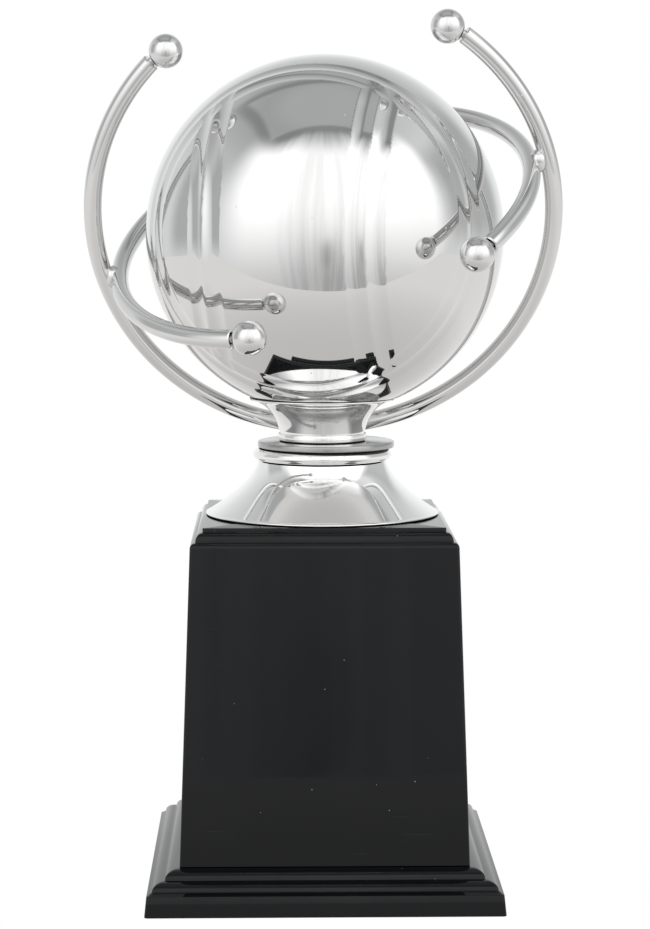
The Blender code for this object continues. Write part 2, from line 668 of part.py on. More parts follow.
def make_orbits(shop):
    """Both orbits, the welds where they cross and the braze that holds the main one to the neck."""
    main = Orbit(
        "main_orbit_rod", MAIN_ORBIT_CENTRE, MAIN_ORBIT_ACROSS, MAIN_ORBIT_UP,
        MAIN_ORBIT_RADIUS, MAIN_ORBIT_ENDS, MAIN_TIP_TURN,
    )
    cross = Orbit(
        "cross_orbit_rod", CROSS_ORBIT_CENTRE, CROSS_ORBIT_ACROSS, CROSS_ORBIT_UP,
        CROSS_ORBIT_RADIUS, CROSS_ORBIT_ENDS, CROSS_TIP_TURN,
    )
    main.rod(shop)
    cross_rod = cross.rod(shop)
    room = ORBIT_ROD_RADIUS + GAP
    main_room = shop.cutter(
        "main_orbit_room", main.tube(shop, "main_orbit_room", room, *main.ends, ROD_POINTS)
    )
    cross_room = shop.cutter(
        "cross_orbit_room", cross.tube(shop, "cross_orbit_room", room, *cross.ends, ROD_POINTS)
    )
    add_cut(cross_rod, main_room)
    main.make_tips(shop, "main")
    cross.make_tips(shop, "cross")

    for side, place in zip(("left", "right"), crossings(main, cross)):
        name = f"weld_{side}"
        bead = ellipsoid_mesh(name, (WELD_RADIUS, WELD_RADIUS, WELD_RADIUS))
        weld = shop.piece(name, bead, "chrome", Matrix.Translation(place))
        add_cut(weld, main_room)
        add_cut(weld, cross_room)

    neck_room = shop.cutter(
        "neck_room",
        profile_mesh("neck_room", [(0.0, NECK_HEIGHT)] + neck_outline(GAP) + [(0.0, 0.0)], closed=False),
        at_height(NECK_Z),
    )
    add_screw(neck_room, ROUND_STEPS)
    low = MAIN_ORBIT_LOW
    half_x, half_y, half_z = BRAZE_HALF_SIZE
    place = Vector((low.x, low.y - ORBIT_ROD_RADIUS - ORBIT_BACK_ROOM / 2, low.z + half_z / 3))
    lump = ellipsoid_mesh("neck_braze", BRAZE_HALF_SIZE)
    braze = shop.piece("neck_braze", lump, "chrome", Matrix.Translation(place))
    add_cut(braze, neck_room)
    add_cut(braze, main_room)


def main():
    clear_scene()
    shop = Workshop()
    make_plinth(shop)
    make_tower(shop)
    make_underside(shop)
    make_ballast(shop)
    make_tie_rod(shop)
    make_foot(shop)
    make_bead(shop)
    make_collar(shop)
    make_neck(shop)
    make_ball(shop)
    make_orbits(shop)


main()
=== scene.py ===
"""Looks of the ball trophy: a mirror-plated ball in two open rod orbits on a black pedestal.

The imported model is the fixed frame. Each sub-assembly is a class that builds its fine meshes
inside the box of the pieces it stands for, and dresses them in procedural finishes.
"""

import logging
import math
from dataclasses import dataclass, field
from enum import Enum
from typing import Any, Callable, Sequence

import bmesh
import bpy
import numpy as np
from mathutils import Matrix, Vector


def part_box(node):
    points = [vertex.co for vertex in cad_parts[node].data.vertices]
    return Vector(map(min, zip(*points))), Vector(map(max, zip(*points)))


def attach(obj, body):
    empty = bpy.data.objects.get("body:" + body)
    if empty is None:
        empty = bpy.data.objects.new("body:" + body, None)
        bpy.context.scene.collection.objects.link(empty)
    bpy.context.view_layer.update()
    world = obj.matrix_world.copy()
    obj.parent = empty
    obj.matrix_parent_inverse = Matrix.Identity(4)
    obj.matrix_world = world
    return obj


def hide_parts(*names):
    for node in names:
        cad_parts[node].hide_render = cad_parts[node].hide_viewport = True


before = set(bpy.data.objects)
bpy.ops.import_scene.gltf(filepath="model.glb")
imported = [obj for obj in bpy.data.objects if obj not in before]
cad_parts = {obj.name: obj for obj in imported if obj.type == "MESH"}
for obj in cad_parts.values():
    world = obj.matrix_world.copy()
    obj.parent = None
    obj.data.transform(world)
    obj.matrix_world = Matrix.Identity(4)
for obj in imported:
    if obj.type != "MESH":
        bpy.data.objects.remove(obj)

LOG = logging.getLogger("trophy")
MM = 0.001
DEGREES = 180.0 / math.pi
Point = tuple[float, float]
Colour = tuple[float, float, float]
Edges = tuple[float, float, float, float]
WHITE: Colour = (1.0, 1.0, 1.0)
COLOUR_A, COLOUR_B, COLOUR_OUT = 6, 7, 2  # a Mix node's sockets when it mixes colours


class Slot(Enum):
    """Material slots of the record that the pieces take their finish from."""

    BLACK_PLASTIC = "black_plastic"
    CHROME = "chrome"
    ZINC_STEEL = "zinc_steel"
    CONCRETE = "concrete"
    HARDBOARD = "hardboard"
    FELT = "felt"


class Polish(Enum):
    """How a plated piece was polished before plating."""

    SPUN = "spun"
    BUFFED = "buffed"
    DRAWN = "drawn"
    FACED = "faced"


# --- Node building ---


class Signal:
    """One value flowing through a node tree, with arithmetic that adds Math nodes."""

    def __init__(self, bench: "NodeBench", socket: Any) -> None:
        """Keep the tree and the output socket that carries the value."""
        self.bench = bench
        self.socket = socket

    def __add__(self, other: "Signal | float") -> "Signal":
        """Sum of two values."""
        return self.bench.math("ADD", self, other)

    def __sub__(self, other: "Signal | float") -> "Signal":
        """Difference of two values."""
        return self.bench.math("SUBTRACT", self, other)

    def __rsub__(self, other: float) -> "Signal":
        """A number less this value."""
        return self.bench.math("SUBTRACT", other, self)

    def __mul__(self, other: "Signal | float") -> "Signal":
        """Product of two values."""
        return self.bench.math("MULTIPLY", self, other)

    __radd__ = __add__

    def larger(self, other: "Signal | float") -> "Signal":
        """The larger of two values."""
        return self.bench.math("MAXIMUM", self, other)

    def smaller(self, other: "Signal | float") -> "Signal":
        """The smaller of two values."""
        return self.bench.math("MINIMUM", self, other)

    def rise(self, low: "Signal | float", high: "Signal | float") -> "Signal":
        """A smooth rise from 0 to 1 as this value passes from low to high.

        Args:
            low: where the rise starts.
            high: where the rise ends.

        Returns:
            The eased value, from 0 to 1.
        """
        node = self.bench.add("ShaderNodeMapRange", interpolation_type="SMOOTHSTEP")
        for name, value in (("Value", self), ("From Min", low), ("From Max", high)):
            self.bench.feed(node.inputs[name], value)
        return Signal(self.bench, node.outputs["Result"])

    def band(self, start: float, full: float, wane: float, end: float) -> "Signal":
        """A smooth hump: 0 before start, 1 from full to wane, 0 after end."""
        return self.rise(start, full) * (1.0 - self.rise(wane, end))

    def blend(self, low: "Signal | float", high: "Signal | float") -> "Signal":
        """Mix from low, at 0, to high, at 1."""
        return self * high + (1.0 - self) * low


class NodeBench:
    """A small workbench for building one node tree."""

    def __init__(self, tree: bpy.types.NodeTree) -> None:
        """Take a node tree and empty it."""
        self.tree = tree
        self.tree.nodes.clear()

    def add(self, kind: str, **settings: Any) -> bpy.types.Node:
        """Add a node.

        Args:
            kind: the node's type name.
            settings: properties of the node, or input sockets by name with spaces as underscores.

        Returns:
            The new node.
        """
        node = self.tree.nodes.new(kind)
        for name, value in settings.items():
            if hasattr(node, name):
                setattr(node, name, value)
            else:
                self.feed(node.inputs[name.replace("_", " ")], value)
        return node

    def feed(self, socket: Any, value: Any) -> None:
        """Link a signal or a socket to an input, or set a plain value on it.

        Args:
            socket: the input.
            value: a signal, an output socket, a number, a vector or the three shares of a colour.
        """
        if isinstance(value, Signal):
            value = value.socket
        if isinstance(value, bpy.types.NodeSocket):
            self.tree.links.new(value, socket)
        else:
            socket.default_value = (*value, 1.0) if socket.type == "RGBA" else value

    def math(self, operation: str, *values: "Signal | float") -> Signal:
        """Apply a Math node.

        Args:
            operation: the node's operation.
            values: its inputs, in order.

        Returns:
            The result.
        """
        node = self.add("ShaderNodeMath", operation=operation)
        for socket, value in zip(node.inputs, values):
            self.feed(socket, value)
        return Signal(self, node.outputs[0])

    def place(self) -> Any:
        """The point on the piece in its own metres."""
        return self.add("ShaderNodeTexCoord").outputs["Object"]

    def stretched(self, scale: Sequence[float]) -> Any:
        """The point on the piece, with each axis scaled."""
        node = self.add("ShaderNodeMapping", Vector=self.place(), Scale=tuple(scale))
        return node.outputs["Vector"]

    def noise(self, vector: Any, scale: float, detail: float = 2.0, rough: float = 0.5) -> Signal:
        """Fractal noise around 0.5, with scale in features a unit."""
        node = self.add(
            "ShaderNodeTexNoise", Vector=vector, Scale=scale, Detail=detail, Roughness=rough
        )
        return Signal(self, node.outputs["Fac"])

    def specks(self, scale: float, size: float, share: float) -> Signal:
        """Small round grains scattered over the piece.

        Args:
            scale: cells a metre.
            size: radius of a grain as a share of its cell.
            share: how many of the cells hold a grain, from 0 to 1.

        Returns:
            1 inside a grain and 0 outside.
        """
        cells = self.add("ShaderNodeTexVoronoi", Vector=self.place(), Scale=scale, Randomness=1.0)
        near = 1.0 - Signal(self, cells.outputs["Distance"]).rise(size * 0.5, size)
        pick = self.add("ShaderNodeSeparateColor", Color=cells.outputs["Color"])
        chosen = Signal(self, pick.outputs["Red"]).rise(1.0 - share, 1.0 - share + 0.01)
        return near * chosen

    def bump(self, height: Signal, strength: float, distance: float, under: Any = None) -> Any:
        """A bump over another one, if any, with distance in metres for a height of 1."""
        below = {} if under is None else {"Normal": under}
        settings = {"Height": height, "Strength": strength, "Distance": distance, **below}
        return self.add("ShaderNodeBump", **settings).outputs["Normal"]

    def tint(self, mix: Signal, first: Any, second: Any) -> Any:
        """A colour between two.

        Args:
            mix: 0 for the first and 1 for the second.
            first: red, green and blue, or a colour socket.
            second: red, green and blue, or a colour socket.

        Returns:
            The colour socket.
        """
        node = self.add("ShaderNodeMix", data_type="RGBA")
        for index, value in ((0, mix), (COLOUR_A, first), (COLOUR_B, second)):
            self.feed(node.inputs[index], value)
        return node.outputs[COLOUR_OUT]

    def split_view(self, lit: Any, seen: Any, output: str) -> None:
        """Show one shader to the camera and another to everything else.

        Args:
            lit: the shader that lights the pieces.
            seen: the shader that the camera sees.
            output: type name of the output node.
        """
        direct = self.add("ShaderNodeLightPath").outputs["Is Camera Ray"]
        pick = self.add("ShaderNodeMixShader")
        for socket, value in zip(pick.inputs, (direct, lit, seen)):
            self.feed(socket, value)
        self.feed(self.add(output).inputs["Surface"], pick.outputs[0])


class Finish:
    """Base of every finish: makes its material once and hands it out."""

    slot: Slot
    label: str

    def look(self, bench: NodeBench) -> dict[str, Any]:
        """What goes into each input of the surface shader."""
        raise NotImplementedError

    def material(self) -> bpy.types.Material:
        """The finish as a material, made the first time it is asked for.

        Returns:
            The material.
        """
        known = bpy.data.materials.get(self.label)
        if known is not None:
            return known
        made = bpy.data.materials.new(self.label)
        made.use_nodes = True
        bench = NodeBench(made.node_tree)
        shader = bench.add("ShaderNodeBsdfPrincipled", **self.look(bench))
        bench.add("ShaderNodeOutputMaterial", Surface=shader.outputs["BSDF"])
        return made

    def dress(self, piece: bpy.types.Object) -> None:
        """Put the finish on every slot of a piece.

        Args:
            piece: the object to dress.
        """
        if not piece.material_slots:
            piece.data.materials.append(self.material())
        for place in piece.material_slots:
            place.material = self.material()


GRAIN = {
    Polish.SPUN: (18.0, 18.0, 900.0),
    Polish.DRAWN: (120.0, 120.0, 120.0),
    Polish.FACED: (700.0, 700.0, 40.0),
    Polish.BUFFED: (300.0, 300.0, 14.0),
}


@dataclass(frozen=True)
class ChromePlate(Finish):
    """Bright decorative chrome, nearly a mirror, with faint polishing marks, smears, dust and
    painted shade in the seams.
    """

    polish: Polish
    shine: float = 0.88
    gloss: float = 0.025
    smear: float = 0.05
    ripple: float = 1.0
    dust: float = 0.02
    # Heights of the seams that get painted shade, and the width of that shade.
    shade_seams: tuple[float, ...] = ()
    shade_seam_width: float = 0.28 * MM
    patch_scale: float = 22.0
    print_scale: float = 75.0
    peel_scale: float = 55.0
    dust_scale: float = 420.0
    dust_size: float = 0.16
    bare: Colour = (1.0, 1.0, 0.995)
    tarnished: Colour = (0.93, 0.93, 0.92)
    # Colour of the painted shade in the seams.
    seam_shade_colour: Colour = (0.03, 0.03, 0.032)
    slot: Slot = Slot.CHROME

    @property
    def label(self) -> str:
        """Name of the material."""
        return f"chrome_{self.polish.value}"

    def seam_shade(self, bench: NodeBench) -> Signal:
        """Painted shade: dark colour in the seams between pieces, standing in for the shadow in
        their gaps.

        Args:
            bench: the material's bench.

        Returns:
            1 in a seam and 0 elsewhere.
        """
        parts = bench.add("ShaderNodeSeparateXYZ", Vector=bench.place())
        height = Signal(bench, parts.outputs["Z"])
        total = bench.math("MULTIPLY", height, 0.0)
        for seam in self.shade_seams:
            away = bench.math("ABSOLUTE", height - seam)
            total = total.larger(1.0 - away.rise(self.shade_seam_width * 0.5, self.shade_seam_width))
        return total

    def look(self, bench: NodeBench) -> dict[str, Any]:
        """Mirror plating with smears, dust and painted shade in the seams.

        Args:
            bench: the material's bench.

        Returns:
            The shader's inputs by name.
        """
        place = bench.place()
        patches = bench.noise(place, self.patch_scale, 4.0, 0.6).rise(0.50, 0.72)
        prints = bench.noise(place, self.print_scale, 3.0, 0.55).rise(0.56, 0.74) * patches
        grain = bench.noise(bench.stretched(GRAIN[self.polish]), 1.0, 3.0)
        dust = bench.specks(self.dust_scale, self.dust_size, self.dust)
        seam_shade = self.seam_shade(bench)
        rough = self.gloss + patches * (self.smear * 0.35) + prints * self.smear + grain * 0.012
        clean = tuple(self.shine * share for share in self.bare)
        dull = tuple(self.shine * share for share in self.tarnished)
        plated = bench.tint((patches * 0.35 + dust * 0.65).smaller(1.0), clean, dull)
        peel = bench.noise(place, self.peel_scale, 1.0)
        waves = bench.bump(peel, 0.04 * self.ripple, 1.0 * MM)
        fine = bench.bump(grain, 0.02, 0.05 * MM, waves)
        # Painted shade: in the seams the plating turns dark, less metallic and rougher.
        return {
            "Base Color": bench.tint(seam_shade * 0.92, plated, self.seam_shade_colour),
            "Metallic": 1.0 - (dust * 0.6).larger(seam_shade * 0.5),
            "Roughness": (rough + (dust + seam_shade) * 0.45).smaller(1.0),
            "Normal": bench.bump(dust, 0.3, 0.1 * MM, fine),
        }


@dataclass(frozen=True)
class BlackMoulding(Finish):
    """Glossy black moulded plastic with faint sink waves, hairline scuffs and pale dust."""

    ior: float = 1.35
    haze_scale: float = 30.0
    scuff_scales: tuple[float, float, float] = (40.0, 60.0, 1400.0)
    scuff_patch_scale: float = 18.0
    sink_scale: float = 16.0
    peel_scale: float = 260.0
    pigment: Colour = (0.0026, 0.0032, 0.0042)
    lint: Colour = (0.62, 0.60, 0.57)
    slot: Slot = Slot.BLACK_PLASTIC
    label: str = "black_moulding"

    def look(self, bench: NodeBench) -> dict[str, Any]:
        """Black gloss with sink waves, scuffs and dust.

        Args:
            bench: the material's bench.

        Returns:
            The shader's inputs by name.
        """
        place = bench.place()
        haze = bench.noise(place, self.haze_scale, 4.0, 0.6).rise(0.48, 0.75)
        hairs = bench.noise(bench.stretched(self.scuff_scales), 1.0, 2.0).rise(0.70, 0.76)
        hairs = hairs * bench.noise(place, self.scuff_patch_scale, 1.0).rise(0.52, 0.60)
        motes = bench.specks(scale=430.0, size=0.10, share=0.035)
        dust = motes.larger(bench.specks(scale=150.0, size=0.030, share=0.12))
        rough = 0.028 + haze * 0.05 + hairs * 0.12 + dust * 0.6
        tint = (dust * 0.55 + haze * 0.002 + hairs * 0.015).smaller(1.0)
        sink = bench.bump(bench.noise(place, self.sink_scale, 1.0), 0.16, 2.0 * MM)
        peel = bench.bump(bench.noise(place, self.peel_scale, 2.0), 0.04, 0.2 * MM, sink)
        return {
            "Base Color": bench.tint(tint, self.pigment, self.lint),
            "Roughness": rough.smaller(1.0),
            "IOR": self.ior,
            "Normal": bench.bump(hairs, 0.2, 0.02 * MM, peel),
        }


@dataclass(frozen=True)
class ZincPlate(Finish):
    """Dull zinc plating with a crystalline bloom on hidden hardware."""

    dark: Colour = (0.50, 0.51, 0.52)
    pale: Colour = (0.63, 0.64, 0.62)
    slot: Slot = Slot.ZINC_STEEL
    label: str = "zinc_plate"

    def look(self, bench: NodeBench) -> dict[str, Any]:
        """Dull metal with a bloom.

        Args:
            bench: the material's bench.

        Returns:
            The shader's inputs by name.
        """
        bloom = bench.noise(bench.place(), 260.0, 4.0, 0.6)
        return {
            "Base Color": bench.tint(bloom.rise(0.35, 0.7), self.dark, self.pale),
            "Metallic": 1.0,
            "Roughness": 0.28 + bloom.rise(0.3, 0.8) * 0.22,
            "Normal": bench.bump(bloom, 0.15, 0.2 * MM),
        }


@dataclass(frozen=True)
class CastConcrete(Finish):
    """Rough cast concrete with sand grains and small air holes."""

    dark: Colour = (0.24, 0.235, 0.22)
    pale: Colour = (0.55, 0.54, 0.51)
    slot: Slot = Slot.CONCRETE
    label: str = "cast_concrete"

    def look(self, bench: NodeBench) -> dict[str, Any]:
        """Sand, air holes and clouding.

        Args:
            bench: the material's bench.

        Returns:
            The shader's inputs by name.
        """
        place = bench.place()
        sand = bench.noise(place, 700.0, 4.0, 0.7)
        holes = bench.specks(scale=260.0, size=0.22, share=0.12)
        cloud = bench.noise(place, 35.0, 3.0)
        shade = (cloud * 0.5 + sand * 0.5 - holes * 0.5).larger(0.0)
        return {
            "Base Color": bench.tint(shade, self.dark, self.pale),
            "Roughness": 0.92,
            "Normal": bench.bump(sand - holes * 0.8, 0.6, 0.5 * MM),
        }


@dataclass(frozen=True)
class Hardboard(Finish):
    """Brown pressed board with short fibres."""

    dark: Colour = (0.13, 0.075, 0.04)
    pale: Colour = (0.40, 0.27, 0.16)
    slot: Slot = Slot.HARDBOARD
    label: str = "hardboard"

    def look(self, bench: NodeBench) -> dict[str, Any]:
        """Fibres and clouding.

        Args:
            bench: the material's bench.

        Returns:
            The shader's inputs by name.
        """
        fibre = bench.noise(bench.stretched((500.0, 1300.0, 900.0)), 1.0, 4.0, 0.65)
        cloud = bench.noise(bench.place(), 60.0, 2.0)
        return {
            "Base Color": bench.tint(fibre * 0.6 + cloud * 0.4, self.dark, self.pale),
            "Roughness": 0.68 + fibre * 0.2,
            "Normal": bench.bump(fibre, 0.4, 0.2 * MM),
        }


@dataclass(frozen=True)
class BlackFelt(Finish):
    """Short black felt with a soft sheen, matted fibres and lint."""

    dark: Colour = (0.008, 0.008, 0.009)
    pale: Colour = (0.075, 0.075, 0.08)
    slot: Slot = Slot.FELT
    label: str = "black_felt"

    def look(self, bench: NodeBench) -> dict[str, Any]:
        """Matted fibres with lint.

        Args:
            bench: the material's bench.

        Returns:
            The shader's inputs by name.
        """
        place = bench.place()
        fibre = bench.noise(place, 2200.0, 3.0, 0.7)
        mat = bench.noise(place, 120.0, 4.0, 0.6)
        lint = bench.specks(scale=240.0, size=0.08, share=0.05)
        shade = (fibre * 0.5 + mat * 0.4 + lint * 0.5).smaller(1.0)
        return {
            "Base Color": bench.tint(shade, self.dark, self.pale),
            "Roughness": 0.96,
            "Sheen Weight": 0.6,
            "Sheen Roughness": 0.5,
            "Normal": bench.bump(fibre + mat * 0.6, 0.8, 0.4 * MM),
        }


# --- Mesh building ---


class Turner:
    """Makes meshes from profiles, all in metres in the frame of the trophy."""

    @staticmethod
    def link(name: str, data: bpy.types.ID) -> bpy.types.Object:
        """Put a mesh or a camera into the scene.

        Args:
            name: name of the new object.
            data: its mesh or camera.

        Returns:
            The object.
        """
        made = bpy.data.objects.new(name, data)
        bpy.context.scene.collection.objects.link(made)
        return made

    @classmethod
    def finish_mesh(
        cls, name: str, points: np.ndarray, faces: list[tuple[int, ...]], sharp: float
    ) -> bpy.types.Object:
        """Turn points and faces into a smooth-shaded object.

        Args:
            name: name of the piece.
            points: array of positions, one row a point.
            faces: corner numbers of each face.
            sharp: least angle of a sharp edge, in degrees.

        Returns:
            The new object, linked to the scene.
        """
        mesh = bpy.data.meshes.new(name)
        mesh.from_pydata(points.tolist(), [], faces)
        mesh.update()
        mesh.shade_smooth()
        mesh.set_sharp_from_angle(angle=math.radians(sharp))
        return cls.link(name, mesh)

    @staticmethod
    def skin(rows: int, columns: int, wrap_rows: bool) -> list[tuple[int, ...]]:
        """Quads over a grid whose columns close on themselves.

        Args:
            rows: number of rings.
            columns: points in each ring.
            wrap_rows: join the last ring to the first.

        Returns:
            The faces.
        """
        faces = []
        for row in range(rows if wrap_rows else rows - 1):
            low, high = row * columns, ((row + 1) % rows) * columns
            for column in range(columns):
                right = (column + 1) % columns
                faces.append((low + column, high + column, high + right, low + right))
        return faces

    @classmethod
    def capped(cls, rows: int, columns: int) -> list[tuple[int, ...]]:
        """A skin over a stack of rings, closed by one face at each end.

        Args:
            rows: number of rings.
            columns: points in each ring.

        Returns:
            The faces.
        """
        last = (rows - 1) * columns
        ends = [tuple(range(columns)), tuple(reversed(range(last, last + columns)))]
        return cls.skin(rows, columns, False) + ends

    @classmethod
    def lathe(
        cls, name: str, profile: Sequence[Point], centre: Vector, steps: int = 160,
        sharp: float = 35.0,
    ) -> bpy.types.Object:
        """Turn a closed profile about the vertical through a centre.

        Args:
            name: name of the piece.
            profile: radius and height of each point, round the section with the outside first.
            centre: the place of radius 0 and height 0.
            steps: points round the piece.
            sharp: least angle of a sharp edge, in degrees.

        Returns:
            The turned piece.
        """
        angle = np.linspace(0.0, 2 * math.pi, steps, endpoint=False)
        rings = []
        for radius, height in profile:
            ring = np.stack(
                [radius * np.cos(angle), radius * np.sin(angle), np.full(steps, height)], axis=1
            )
            rings.append(ring + np.array(centre))
        points = np.concatenate(rings)
        return cls.finish_mesh(name, points, cls.skin(len(profile), steps, True), sharp)

    @classmethod
    def square_moulding(
        cls, name: str, profile: Sequence[Point], base: Vector, corner: float,
        corner_steps: int = 6, sharp: float = 28.0,
    ) -> bpy.types.Object:
        """Sweep a profile of half widths round a square with rounded corners.

        Args:
            name: name of the piece.
            profile: half width and height of each point, from the top middle to the inside.
            base: the middle of the moulding's foot.
            corner: radius of the upright corners.
            corner_steps: faces in each corner.
            sharp: least angle of a sharp edge, in degrees.

        Returns:
            The moulding.
        """
        right_angle = math.radians(90.0)
        rings = []
        for half, height in profile:
            radius = min(corner, half * 0.9)
            inset = half - radius
            rounded = cls.arc((inset, inset), (radius, radius), 0.0, 90.0, corner_steps)
            ring = []
            for quarter in range(4):
                cos, sin = math.cos(right_angle * quarter), math.sin(right_angle * quarter)
                ring += [(x * cos - y * sin, x * sin + y * cos, height) for x, y in rounded]
            rings.append(np.array(ring) + np.array(base))
        faces = cls.capped(len(rings), len(rings[0]))
        return cls.finish_mesh(name, np.concatenate(rings), faces, sharp)

    @classmethod
    def rod(
        cls, name: str, line: Callable[[float], tuple[Vector, Vector, Vector]], radius: float,
        steps: int, sides: int = 40, chamfer: float = 0.0004, sharp: float = 40.0,
    ) -> bpy.types.Object:
        """Sweep a round rod with eased ends along a line.

        Args:
            name: name of the piece.
            line: gives the point and two cross directions for a share from 0 to 1.
            radius: radius of the rod.
            steps: sections along it.
            sides: points round it.
            chamfer: width of the eased edge at each end.
            sharp: least angle of a sharp edge, in degrees.

        Returns:
            The rod.
        """
        cap_share = 0.35
        around = np.linspace(0.0, -2 * math.pi, sides, endpoint=False)
        cap = [(radius * cap_share, 0.0), (radius - chamfer, 0.0)]
        body = [(radius, 0.0)] * (steps - 1)
        sections = [*cap, (radius, chamfer), *body, (radius, -chamfer), *reversed(cap)]
        rings = []
        for index, (size, shift) in enumerate(sections):
            point, across, up = line(min(max(index - len(cap), 0), steps) / steps)
            point = point + across.cross(up) * shift
            ring = (
                np.array(point)
                + np.outer(np.cos(around) * size, np.array(across))
                + np.outer(np.sin(around) * size, np.array(up))
            )
            rings.append(ring)
        points = np.concatenate(rings)
        return cls.finish_mesh(name, points, cls.capped(len(rings), sides), sharp)

    @staticmethod
    def arc(
        centre: Point, sizes: Point, start: float, end: float, steps: int
    ) -> list[Point]:
        """Points along a quarter or any part of an ellipse.

        Args:
            centre: its centre.
            sizes: its half sizes.
            start: first angle in degrees from the outward direction.
            end: last angle in degrees.
            steps: number of steps.

        Returns:
            The points.
        """
        points = []
        for step in range(steps + 1):
            angle = math.radians(start + (end - start) * step / steps)
            x = centre[0] + sizes[0] * math.cos(angle)
            points.append((x, centre[1] + sizes[1] * math.sin(angle)))
        return points

    @staticmethod
    def bow(start: Point, middle: Point, end: Point, steps: int) -> list[Point]:
        """Points along a curve from start to end, pulled towards middle.

        Args:
            start: first point.
            middle: the point that pulls.
            end: last point.
            steps: number of steps.

        Returns:
            The points.
        """
        points = []
        for step in range(steps + 1):
            t = step / steps
            points.append(tuple(
                (1 - t) ** 2 * a + 2 * t * (1 - t) * b + t**2 * c
                for a, b, c in zip(start, middle, end)
            ))
        return points


class Assembler:
    """Fits finished pieces to the frame and reports them."""

    @staticmethod
    def fit(piece: bpy.types.Object, finish: Finish, *nodes: str) -> bpy.types.Object:
        """Dress a piece, let it ride on the trophy and let it stand for CAD nodes.

        Args:
            piece: the finished mesh.
            finish: what it is dressed in.
            nodes: the CAD nodes that it stands for.

        Returns:
            The same piece.
        """
        finish.dress(piece)
        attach(piece, "root")
        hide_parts(*nodes)
        LOG.info("made %s for %s", piece.name, ", ".join(nodes))
        return piece

    @staticmethod
    def keep(node: str, finish: Finish) -> None:
        """Keep a CAD node's shape and give it a better finish."""
        finish.dress(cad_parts[node])
        LOG.info("dressed %s in %s", node, finish.label)

    @staticmethod
    def seat(node: str) -> tuple[Vector, float, float]:
        """Where a CAD node stands.

        Args:
            node: the CAD node.

        Returns:
            The middle of its foot, its half width and its height.
        """
        low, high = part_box(node)
        foot = Vector(((low.x + high.x) / 2, (low.y + high.y) / 2, low.z))
        return foot, (high.x - low.x) / 2, high.z - low.z


# --- Sub-assemblies ---


